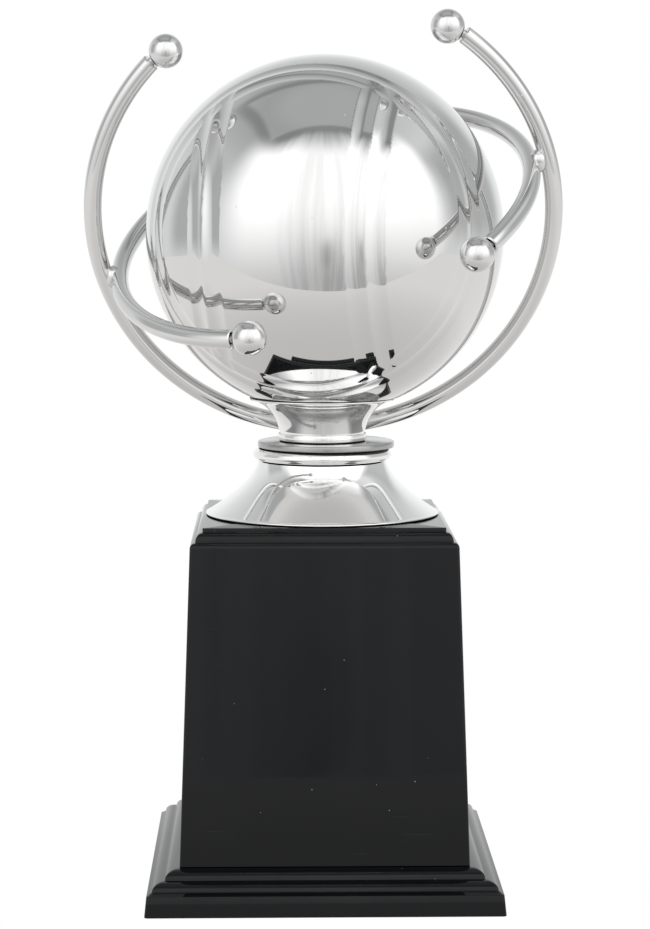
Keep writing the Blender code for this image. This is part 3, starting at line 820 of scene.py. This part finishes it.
@dataclass
class Pedestal:
    """The stepped plinth, the tapered tower and what closes them underneath."""

    plinth_draft: float = 0.75 * MM
    plinth_face: float = 7.5 * MM
    ledge: float = 1.9 * MM
    ledge_rise: float = 1.2 * MM
    ledge_lift: float = 0.25 * MM
    ledge_seam: Point = (0.15 * MM, 0.05 * MM)
    arris_steps: int = 4
    plinth_steps: tuple[Point, Point] = ((4.2 * MM, 3.1 * MM), (4.7 * MM, 3.1 * MM))
    plinth_fillet: float = 0.35 * MM
    tower_draft: float = 4.1 * MM
    tower_body: float = 115.1 * MM
    shoulder_steps: tuple[Point, Point] = ((1.7 * MM, 2.0 * MM), (2.3 * MM, 3.4 * MM))
    shoulder_fillet: float = 0.25 * MM
    shoulder_seam: float = 0.1 * MM
    wall: float = 2.6 * MM
    lean: float = 0.6 * MM
    plinth_top: float = 3.2 * MM
    tower_top: float = 3.0 * MM
    middle: float = 1.0 * MM
    corner: float = 1.1 * MM
    edge: float = 0.30 * MM
    finish: BlackMoulding = field(default_factory=BlackMoulding)

    @staticmethod
    def quarter(outer: float, low: float, out: float, rise: float, steps: int = 12) -> list[Point]:
        """A convex quarter-round that rises by rise and reaches in by out, from the top."""
        return Turner.arc((outer - out, low), (out, rise), 90.0, 0.0, steps)

    def build_plinth(self) -> None:
        """Make the lower moulding."""
        base, half, height = Assembler.seat("plinth")
        ledge_edge = half - self.plinth_draft
        lower_edge = ledge_edge - self.ledge
        (out_a, rise_a), (out_b, rise_b) = self.plinth_steps
        upper_edge = lower_edge - out_a - self.plinth_fillet
        lower_z = self.plinth_face + self.ledge_rise
        upper_z = lower_z + rise_a + self.plinth_fillet
        points: list[Point] = [(self.middle, height)]
        points += self.quarter(upper_edge, upper_z, out_b, rise_b)
        points += [(upper_edge + self.plinth_fillet * 0.3, upper_z - self.plinth_fillet * 0.7)]
        points += self.quarter(lower_edge, lower_z, out_a, rise_a)
        points += [(lower_edge + self.ledge_seam[0], lower_z - self.ledge_seam[1])]
        edge, steps = self.edge, self.arris_steps
        ledge_low = self.plinth_face + self.ledge_lift - edge
        points += self.quarter(ledge_edge, ledge_low, edge * 1.5, edge, steps)
        points += Turner.arc((half - edge, edge), (edge, edge), 0.0, -90.0, steps)
        points += [
            (half - self.wall, 0.0), (half - self.wall - self.lean, self.plinth_face),
            (upper_edge - out_b - self.wall, height - self.plinth_top),
            (self.middle, height - self.plinth_top),
        ]
        piece = Turner.square_moulding("plinth_moulding", points, base, self.corner)
        Assembler.fit(piece, self.finish, "plinth")

    def build_tower(self) -> None:
        """Make the tall tapered moulding."""
        base, foot, height = Assembler.seat("tower")
        top = foot - self.tower_draft
        (out_a, rise_a), (out_b, rise_b) = self.shoulder_steps
        upper_edge = top - out_a - self.shoulder_fillet
        plate = upper_edge - out_b - self.shoulder_fillet
        upper_z = self.tower_body + rise_a
        plate_z = upper_z + rise_b + self.shoulder_fillet
        points: list[Point] = [(self.middle, height)]
        points += self.quarter(plate, height - self.edge, self.edge, self.edge, self.arris_steps)
        points += [(plate, plate_z)]
        points += self.quarter(upper_edge, upper_z, out_b, rise_b)
        points += [(upper_edge + self.shoulder_seam, upper_z - self.shoulder_seam)]
        points += self.quarter(top, self.tower_body, out_a, rise_a)
        points += [
            (foot, 0.0), (foot - self.wall, 0.0), (top - self.wall, self.tower_body),
            (plate - self.wall, height - self.tower_top), (self.middle, height - self.tower_top),
        ]
        piece = Turner.square_moulding("tower_moulding", points, base, self.corner)
        Assembler.fit(piece, self.finish, "tower")

    def build(self) -> None:
        """Make the mouldings and dress the pieces inside and under them."""
        self.build_plinth()
        self.build_tower()
        Assembler.keep("base_felt", BlackFelt())
        Assembler.keep("base_cover", Hardboard())
        Assembler.keep("ballast", CastConcrete())
        for node in ("tie_rod", "base_washer", "base_nut", "ball_washer", "ball_nut", "ball_plug"):
            Assembler.keep(node, ZincPlate())


@dataclass
class Stem:
    """The spun foot, the bead, the collar and the neck between the pedestal and the ball."""

    foot_throat: float = 24.0 * MM
    throat_round: Point = (0.4 * MM, 0.2 * MM)
    foot_pull: Point = (25.9 * MM, 11.3 * MM)
    foot_rim_edge: float = 0.7 * MM
    foot_wall: float = 1.2 * MM
    bore: float = 3.6 * MM
    collar_bore: float = 4.8 * MM
    collar_edge: float = 0.5 * MM
    neck_waist: float = 16.0 * MM
    neck_foot: float = 16.5 * MM
    neck_foot_height: float = 2.9 * MM
    neck_step: float = 0.3 * MM
    neck_drop: float = 0.6 * MM
    neck_round: float = 0.5 * MM
    neck_bow: Point = (18.3 * MM, 13.0 * MM)
    neck_wall: float = 1.5 * MM
    neck_hollow: tuple[Point, Point] = ((16.5 * MM, 11.5 * MM), (18.3 * MM, 14.5 * MM))
    lip_thickness: float = 0.8 * MM

    @property
    def finish(self) -> ChromePlate:
        """Spun chrome with painted shade in the seams where the pieces meet."""
        # Painted shade goes under the collar and the neck, at the neck's lip under the ball and
        # under the foot's rim.
        seams = [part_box(node)[0].z for node in ("collar_disc", "neck")]
        seams += [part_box("neck")[1].z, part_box("foot_flare")[0].z]
        return ChromePlate(Polish.SPUN, shine=0.90, gloss=0.035, ripple=1.4, shade_seams=tuple(seams))

    def build_foot(self) -> None:
        """Make the flared foot with its thin rolled rim."""
        centre, rim, height = Assembler.seat("foot_flare")
        edge = self.foot_rim_edge
        inward, down = self.throat_round
        points: list[Point] = [(self.bore, height), (self.foot_throat - inward, height)]
        points += Turner.bow(
            (self.foot_throat, height - down), self.foot_pull, (rim - edge / 2, edge), steps=40
        )
        points += Turner.arc((rim - edge / 2, edge / 2), (edge / 2, edge / 2), 80.0, -90.0, 8)
        points += Turner.bow(
            (rim - 2 * self.foot_wall, 0.0),
            (self.foot_pull[0] - self.foot_wall, self.foot_pull[1] - self.foot_wall / 2),
            (self.foot_throat - self.foot_wall, height - self.foot_wall), steps=16,
        )
        points += [(self.bore, height - self.foot_wall)]
        piece = Turner.lathe("spun_foot", points, centre, steps=224)
        Assembler.fit(piece, self.finish, "foot_flare")

    def build_bead(self) -> None:
        """Make the half-round bead."""
        centre, radius, height = Assembler.seat("bead_ring")
        nose = height / 2
        points: list[Point] = [(self.bore, height)]
        points += Turner.arc((radius - nose, nose), (nose, nose), 90.0, -90.0, 24)
        points += [(self.bore, 0.0)]
        Assembler.fit(Turner.lathe("bead", points, centre, steps=192), self.finish, "bead_ring")

    def build_collar(self) -> None:
        """Make the flat collar disc."""
        centre, radius, height = Assembler.seat("collar_disc")
        edge = self.collar_edge
        points: list[Point] = [(self.collar_bore, height)]
        points += Turner.arc((radius - edge, height - edge), (edge, edge), 90.0, 0.0, 5)
        points += Turner.arc((radius - edge, edge), (edge, edge), 0.0, -90.0, 5)
        points += [(self.collar_bore, 0.0)]
        # The collar gets the same painted seam shade.
        faced = ChromePlate(Polish.FACED, shine=0.40, gloss=0.15, shade_seams=self.finish.shade_seams)
        Assembler.fit(Turner.lathe("collar", points, centre, steps=192), faced, "collar_disc")

    def build_neck(self) -> None:
        """Make the neck with its small foot, waist and thin lip."""
        centre, lip, height = Assembler.seat("neck")
        lip_low = height - self.lip_thickness
        waist_low = self.neck_foot_height + self.neck_step
        half = self.lip_thickness / 2
        points: list[Point] = [(self.bore, height)]
        points += Turner.arc((lip - half, height - half), (half, half), 90.0, -70.0, 8)
        under_lip, waist = (lip - self.lip_thickness, lip_low), (self.neck_waist, waist_low)
        points += Turner.bow(under_lip, self.neck_bow, waist, steps=32)
        points += [(self.neck_waist, self.neck_foot_height)]
        nose, inside = (self.neck_round, self.neck_round), self.neck_waist - self.neck_wall
        side = self.neck_foot - self.neck_round
        points += Turner.arc((side, self.neck_foot_height - self.neck_drop), nose, 80.0, 0.0, 4)
        points += Turner.arc((side, self.neck_round), nose, 0.0, -90.0, 4)
        points += [(inside, 0.0)]
        points += Turner.bow((inside, self.neck_foot_height), *self.neck_hollow, steps=8)
        points += [(self.bore, height - self.neck_wall)]
        Assembler.fit(Turner.lathe("spun_neck", points, centre, steps=192), self.finish, "neck")

    def build(self) -> None:
        """Make the four turned pieces."""
        self.build_foot()
        self.build_bead()
        self.build_collar()
        self.build_neck()


@dataclass(frozen=True)
class FluteBand:
    """Two shallow flutes side by side, pressed along circles about one axis of the ball."""

    axis: tuple[float, float, float]
    circles: Point
    widths: Point
    depth: float
    softness: float = 1.3

    def angle(self, out: np.ndarray) -> np.ndarray:
        """Angle in degrees between the band's axis and each direction."""
        axis = np.array(self.axis) / np.linalg.norm(self.axis)
        return np.degrees(np.arccos(np.clip(out @ axis, -1.0, 1.0)))

    def sink(self, out: np.ndarray) -> np.ndarray:
        """How deep the flutes lie under the ball's surface.

        Args:
            out: directions of the points from the ball's centre.

        Returns:
            Depth at each point, in metres.
        """
        angle = self.angle(out)
        total = np.zeros(len(out))
        for circle, width in zip(self.circles, self.widths):
            share = np.clip(1.0 - ((angle - circle) / (width / 2)) ** 2, 0.0, 1.0)
            total += share**self.softness
        return total * self.depth


@dataclass
class Ball:
    """The hollow ball with its pressed bands of flutes, the same in front and behind."""

    wall: float = 1.2 * MM
    around: int = 640
    down: int = 320
    inner_down: int = 40
    pole: float = 0.002
    ring: FluteBand = FluteBand((-0.160, -0.986, 0.052), (62.8, 56.8), (5.7, 5.9), 0.42 * MM)
    uprights: tuple[FluteBand, ...] = (
        FluteBand((-0.973, 0.232, -0.006), (57.8, 64.9), (6.2, 6.9), 0.58 * MM),
        FluteBand((0.968, -0.249, 0.001), (68.0, 61.4), (6.3, 6.2), 0.44 * MM),
    )
    meeting: Point = (57.5, 63.5)

    def build(self) -> None:
        """Make the ball, closed at its rim by an inner skin."""
        low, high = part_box("ball_shell")
        radius = (high.x - low.x) / 2
        centre = np.array(((low.x + high.x) / 2, (low.y + high.y) / 2, high.z - radius))
        mouth = math.acos(max(-1.0, (low.z - centre[2]) / radius))
        tilt = np.linspace(0.0, mouth, self.down)
        tilt[0] = self.pole
        out = self.directions(tilt)
        outer = centre + out * (radius - self.sink(out))[:, None]
        inner_radius = radius - self.wall
        inner_mouth = math.acos((low.z - centre[2]) / inner_radius)
        back = self.directions(np.linspace(inner_mouth, self.pole, self.inner_down))
        points = np.concatenate([outer, centre + back * inner_radius])
        faces = Turner.capped(self.down + self.inner_down, self.around)
        piece = Turner.finish_mesh("mirror_ball", points, faces, sharp=50.0)
        normals = np.concatenate([self.lean(out, radius), -back])
        piece.data.normals_split_custom_set_from_vertices(normals.tolist())
        finish = ChromePlate(Polish.BUFFED, shine=0.72, gloss=0.02, ripple=0.6, dust=0.03)
        Assembler.fit(piece, finish, "ball_shell")

    def directions(self, tilt: np.ndarray) -> np.ndarray:
        """Unit directions from the ball's centre, ring by ring.

        Args:
            tilt: angle of each ring from straight up, in radians.

        Returns:
            One direction a row.
        """
        turn = np.linspace(0.0, 2 * math.pi, self.around, endpoint=False)
        tilts, turns = np.meshgrid(tilt, turn, indexing="ij")
        flat = np.sin(tilts)
        ways = [flat * np.cos(turns), flat * np.sin(turns), np.cos(tilts)]
        return np.stack(ways, axis=-1).reshape(-1, 3)

    def sink(self, out: np.ndarray) -> np.ndarray:
        """Depth of all flutes together.

        Args:
            out: directions of the points from the ball's centre.

        Returns:
            Depth at each point, in metres.
        """
        depths = []
        near, far = self.meeting
        for way in (out, out * np.array((-1.0, -1.0, 1.0))):
            share = np.clip((far - self.ring.angle(way)) / (far - near), 0.0, 1.0)
            share = share * share * (3.0 - 2.0 * share)
            depths += [self.ring.sink(way)] + [band.sink(way) * share for band in self.uprights]
        return np.maximum.reduce(depths)

    def lean(self, out: np.ndarray, radius: float) -> np.ndarray:
        """True outward directions of the fluted surface.

        Args:
            out: directions from the centre.
            radius: radius of the ball.

        Returns:
            One unit direction a point.
        """
        skew = np.array((0.31, 0.52, 0.795))
        level = np.cross(out, skew)
        level /= np.linalg.norm(level, axis=1, keepdims=True)
        over = np.cross(out, level)
        step = 0.0008
        slopes = []
        for way in (level, over):
            ahead, behind = out + way * step, out - way * step
            ahead /= np.linalg.norm(ahead, axis=1, keepdims=True)
            behind /= np.linalg.norm(behind, axis=1, keepdims=True)
            slopes.append((self.sink(ahead) - self.sink(behind)) / (2 * step * radius))
        normal = out + level * slopes[0][:, None] + over * slopes[1][:, None]
        return normal / np.linalg.norm(normal, axis=1, keepdims=True)


DRAWN_CHROME = ChromePlate(Polish.DRAWN, shine=0.71, gloss=0.02, ripple=0.4)


@dataclass
class Orbit:
    """A rod bent to part of a circle, with a ball on each end."""

    label: str
    centre: Vector
    across: Vector
    up: Vector
    radius: float
    ends: Point
    rod_radius: float = 3.3 * MM
    tip_radius: float = 6.25 * MM
    tip_flat: float = 2.8 * MM
    tip_inset: float = 0.07 * MM
    tip_start: float = 89.5
    tip_steps: int = 72
    tip_rim: float = 0.3 * MM
    socket_radius: float = 1.85 * MM
    socket_depth: float = 3.0 * MM
    steps: int = 220
    finish: ChromePlate = DRAWN_CHROME

    def section(self, share: float) -> tuple[Vector, Vector, Vector]:
        """The rod's line and cross directions.

        Args:
            share: from 0 at the first end to 1 at the last.

        Returns:
            The point, the outward direction and the direction square to it.
        """
        angle = math.radians(self.ends[0] + (self.ends[1] - self.ends[0]) * share)
        outward = self.across * math.cos(angle) + self.up * math.sin(angle)
        normal = self.across.cross(self.up).normalized()
        return self.centre + outward * self.radius, outward, -normal

    def build_tips(self) -> None:
        """Make the end balls and keep their studs."""
        for side in ("left", "right"):
            node = f"{self.label}_tip_{side}"
            stud_low, stud_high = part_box(f"{self.label}_stud_{side}")
            cad = np.array([v.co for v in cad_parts[node].data.vertices])
            middle = self.round_fit(cad)
            stem = (stud_low + stud_high) / 2
            outward = (middle - stem).normalized()
            drop = math.sqrt(self.tip_radius**2 - self.tip_flat**2)
            radius = self.tip_radius - self.tip_inset
            stop = -math.degrees(math.acos(self.tip_flat / self.tip_radius))
            size = (radius, radius)
            points = Turner.arc((0.0, 0.0), size, self.tip_start, stop, self.tip_steps)
            points += [(self.tip_flat - self.tip_rim, -drop), (self.socket_radius, -drop)]
            points += [(self.socket_radius, -drop + self.socket_depth)]
            name = f"{self.label}_end_ball_{side}"
            piece = Turner.lathe(name, points, Vector((0, 0, 0)), steps=96, sharp=40.0)
            turn = outward.to_track_quat("Z", "Y").to_matrix().to_4x4()
            piece.data.transform(Matrix.Translation(middle) @ turn)
            Assembler.fit(piece, self.finish, node)
            Assembler.keep(f"{self.label}_stud_{side}", ZincPlate())

    def round_fit(self, points: np.ndarray) -> Vector:
        """Find the centre of the ball that most of a set of points lie on.

        Args:
            points: positions on an end ball, its socket included.

        Returns:
            The centre.
        """
        rounds, slack, fewest = 6, 0.6 * MM, 12
        chosen, centre = points, points.mean(axis=0)
        for _ in range(rounds):
            rows = np.hstack([2 * chosen, np.ones((len(chosen), 1))])
            answer, *_ = np.linalg.lstsq(rows, (chosen**2).sum(axis=1), rcond=None)
            centre = answer[:3]
            away = np.linalg.norm(points - centre, axis=1)
            chosen = points[np.abs(away - self.tip_radius) < slack]
            if len(chosen) < fewest:
                chosen = points[away > 0.8 * away.max()]
        return Vector(centre)

    def build(self) -> None:
        """Make the rod and its end balls."""
        rod = Turner.rod(f"{self.label}_orbit", self.section, self.rod_radius, self.steps)
        Assembler.fit(rod, self.finish, f"{self.label}_orbit_rod")
        self.build_tips()


@dataclass
class OrbitPair:
    """Both orbits, the welds where they cross and the braze on the neck."""

    room: float = 18.5 * MM
    forward: float = 8.0 * MM
    swing: float = -0.9
    shift: float = 0.7 * MM
    back_room: float = 1.1 * MM
    rest_room: float = 0.4 * MM
    lap: float = 0.4 * MM
    roll: float = 18.3
    tilt: float = 25.6
    offset: tuple[float, float, float] = (-0.1 * MM, 0.0, -1.7 * MM)
    main_ends: Point = (136.6, 413.8)
    cross_ends: Point = (-49.2, 236.4)

    def main_orbit(self) -> Orbit:
        """The larger orbit, leaning forward from the back of the neck.

        Returns:
            The orbit.
        """
        radius = Assembler.seat("ball_shell")[1] + self.room
        foot = Vector((
            self.shift, Stem.neck_waist + Orbit.rod_radius + self.back_room,
            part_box("neck")[0].z + Orbit.rod_radius + self.rest_room,
        ))
        lean = math.asin((foot.y + self.forward) / radius)
        turn = math.radians(self.swing)
        across = Vector((math.cos(turn), math.sin(turn), 0.0))
        up = Vector((
            math.sin(lean) * math.sin(turn), -math.sin(lean) * math.cos(turn), math.cos(lean)
        ))
        return Orbit("main", foot + up * radius, across, up, radius, self.main_ends)

    def cross_orbit(self, main: Orbit) -> Orbit:
        """The smaller orbit, low at the front left and high at the back right.

        Args:
            main: the orbit that it is let into.

        Returns:
            The orbit.
        """
        roll, tilt = math.radians(self.roll), math.radians(self.tilt)
        across = Vector((math.cos(roll), 0.0, math.sin(roll)))
        up = Vector((
            -math.sin(tilt) * math.sin(roll), math.cos(tilt), math.sin(tilt) * math.cos(roll)
        ))
        radius = main.radius - 2 * Orbit.rod_radius + self.lap
        centre = main.centre + Vector(self.offset)
        return Orbit("cross", centre, across, up, radius, self.cross_ends)

    def build_lump(self, name: str, node: str) -> None:
        """Make a lump of filler with a slightly uneven, polished surface.

        Args:
            name: name of the piece.
            node: the CAD node that it stands for.
        """
        low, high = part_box(node)
        middle, half = (low + high) / 2, (high - low) / 2
        work = bmesh.new()
        bmesh.ops.create_icosphere(work, subdivisions=5, radius=1.0)
        dent_depth = 0.025
        for vert in work.verts:
            x, y, z = vert.co
            dent = dent_depth * (math.sin(5.1 * x + 2.0 * y) + math.sin(4.3 * y - 3.1 * z + 1.0))
            scale = 1.0 - 2 * dent_depth + dent
            vert.co = Vector((x * half.x, y * half.y, z * half.z)) * scale + middle
        mesh = bpy.data.meshes.new(name)
        work.to_mesh(mesh)
        work.free()
        mesh.shade_smooth()
        Assembler.fit(Turner.link(name, mesh), DRAWN_CHROME, node)

    def build(self) -> None:
        """Make both orbits and the filler that holds them."""
        main = self.main_orbit()
        cross = self.cross_orbit(main)
        main.build()
        cross.build()
        self.build_lump("weld_lump_left", "weld_left")
        self.build_lump("weld_lump_right", "weld_right")
        self.build_lump("neck_braze_lump", "neck_braze")


# --- Studio ---


@dataclass(frozen=True)
class Zone:
    """A soft-edged patch of the surroundings, in degrees round from the front and up."""

    turn: Edges
    rise: Edges
    share: float

    def patch(self, turn: Signal, rise: Signal) -> Signal:
        """How strong the patch is in a direction."""
        return turn.band(*self.turn) * rise.band(*self.rise) * self.share


@dataclass
class Studio:
    """The pale table, the light tent round it and the camera."""

    lens: float = 99.2
    sensor: float = 36.0
    camera_place: tuple[float, float, float] = (-0.0181, -0.9575, 0.2572)
    camera_turn: tuple[float, float, float] = (83.996, 0.0, -1.145)
    table_front: float = -0.388
    table_side: float = 1.6
    table_back: float = 2.4
    # Painted shadow on the table: its glow rises from the first strength near the trophy to the
    # second over the reach.
    shadowed_table_glow: Point = (0.68, 0.92)
    table_shadow_reach: Point = (0.08, 0.55)
    table_light: Colour = (1.0, 0.985, 0.97)
    room_light: Colour = (0.985, 1.0, 1.0)
    dark_left: Zone = Zone((-122.0, -108.0, -86.0, -76.0), (-12.0, 0.0, 22.0, 40.0), 0.36)
    dark_right: Zone = Zone((82.0, 94.0, 138.0, 156.0), (-8.0, 6.0, 26.0, 44.0), 0.34)
    side_lamp: Zone = Zone((36.0, 64.0, 104.0, 134.0), (34.0, 46.0, 58.0, 72.0), 0.24)
    hollow: Zone = Zone((-18.0, -4.0, 4.0, 18.0), (-40.0, -22.0, -10.0, 8.0), 0.12)
    stand: Zone = Zone((-7.0, -0.6, 0.4, 6.4), (-24.0, -13.0, -10.0, 1.0), 0.24)
    panel: tuple[Edges, Edges] = ((-0.50, -0.45, 0.24, 0.29), (-0.31, -0.27, 0.34, 0.40))
    panel_gap: tuple[Edges, Edges] = ((-0.60, -0.52, 0.31, 0.39), (-0.42, -0.34, 0.40, 0.50))

    def build_camera(self) -> None:
        """Place the camera in front, a little above the middle of the trophy."""
        lens = bpy.data.cameras.new("studio_camera")
        lens.sensor_fit = "VERTICAL"
        lens.sensor_height = self.sensor
        lens.lens = self.lens
        camera = Turner.link("studio_camera", lens)
        camera.location = self.camera_place
        camera.rotation_euler = [math.radians(angle) for angle in self.camera_turn]
        bpy.context.scene.camera = camera

    def build_table(self) -> None:
        """Make the white table with its straight front edge and a painted shadow round the trophy.
        """
        mesh = bpy.data.meshes.new("table")
        side, front, back = self.table_side, self.table_front, self.table_back
        mesh.from_pydata(
            [(-side, front, 0.0), (side, front, 0.0), (side, back, 0.0), (-side, back, 0.0)],
            [], [(0, 1, 2, 3)],
        )
        table = Turner.link("table", mesh)
        made = bpy.data.materials.new("white_table_painted_shadow")
        made.use_nodes = True
        bench = NodeBench(made.node_tree)
        # Painted shadow: the glow dims near the trophy for lighting and reflections, while the
        # camera sees plain white.
        apart = bench.add("ShaderNodeVectorMath", operation="LENGTH")
        bench.feed(apart.inputs[0], bench.place())
        shadow_fade = Signal(bench, apart.outputs["Value"]).rise(*self.table_shadow_reach)
        strength = shadow_fade.blend(*self.shadowed_table_glow)
        lit = bench.add("ShaderNodeEmission", Color=self.table_light, Strength=strength)
        plain = bench.add("ShaderNodeEmission", Color=WHITE)
        bench.split_view(lit.outputs[0], plain.outputs[0], "ShaderNodeOutputMaterial")
        mesh.materials.append(made)

    def build_tent(self) -> None:
        """Light from all round: a bright tent in front and a grey room behind it."""
        world = bpy.data.worlds.new("light_tent")
        bpy.context.scene.world = world
        world.use_nodes = True
        bench = NodeBench(world.node_tree)
        way = bench.add("ShaderNodeTexCoord").outputs["Generated"]
        parts = bench.add("ShaderNodeSeparateXYZ", Vector=way)
        x, y, z = (Signal(bench, parts.outputs[axis]) for axis in "XYZ")
        turn = bench.math("ARCTAN2", x, y * -1.0) * DEGREES
        rise = bench.math("ARCSINE", z) * DEGREES

        # The room: walls that darken upward, a pale backdrop, a ceiling panel with a dark rim.
        room = rise.rise(12.0, 66.0).blend(0.86, 0.46) + rise.rise(62.0, 76.0) * 0.06
        for dark in (self.dark_left, self.dark_right):
            room = room * (1.0 - dark.patch(turn, rise))
        behind = bench.math("ABSOLUTE", turn).rise(134.0, 168.0)
        backdrop = behind * rise.band(-60.0, -30.0, 8.0, 30.0)
        room = backdrop.blend(room, 0.98) + self.side_lamp.patch(turn, rise)
        panel, rim = (
            x.band(*across) * y.band(*along) for across, along in (self.panel, self.panel_gap)
        )
        overhead = rise.rise(40.0, 55.0)
        room = room * (1.0 - (rim - panel).larger(0.0) * overhead * 0.34)

        # The tent: a bright front whose top edge rises in the middle, with folds in its cloth.
        crown = turn.band(-52.0, -22.0, 24.0, 54.0)
        spot = bench.add("ShaderNodeCombineXYZ", X=turn, Y=rise * 0.05)
        folds = bench.noise(spot.outputs[0], 0.16, 4.0, 0.55).rise(0.38, 0.62)
        top = crown * 7.0 + crown * folds * 3.0 + 51.0
        soft = crown * 2.0 + 8.0
        front = turn.band(-80.0, -50.0, 72.0, 86.0) * (1.0 - rise.rise(top - soft, top + soft))
        inner = turn.band(-40.0, -14.0, 18.0, 44.0)
        low = 1.0 - rise.rise(-30.0, 12.0)
        tent = rise.rise(-40.0, 30.0).blend(0.69, 1.60)
        tent = tent * (1.0 - inner * 0.10 - inner * folds * (low * 0.10 + 0.10))
        for dark in (self.hollow, self.stand):
            tent = tent * (1.0 - dark.patch(turn, rise))

        shade = bench.tint(front, self.room_light, WHITE)
        strength = front.blend(room, tent)
        glow = bench.add("ShaderNodeBackground", Color=shade, Strength=strength)
        plain = bench.add("ShaderNodeBackground", Color=WHITE)
        bench.split_view(glow.outputs[0], plain.outputs[0], "ShaderNodeOutputWorld")

    def build(self) -> None:
        """Set up the camera, the table and the light."""
        bpy.context.scene.view_settings.view_transform = "Standard"
        self.build_camera()
        self.build_table()
        self.build_tent()


def main() -> None:
    """Build the studio and every sub-assembly of the trophy."""
    logging.basicConfig(level=logging.INFO, format="%(name)s: %(message)s")
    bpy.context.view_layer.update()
    for assembly in (Studio(), Pedestal(), Stem(), Ball(), OrbitPair()):
        assembly.build()
        LOG.info("finished %s", type(assembly).__name__)
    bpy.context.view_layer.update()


if __name__ == "__main__":
    main()
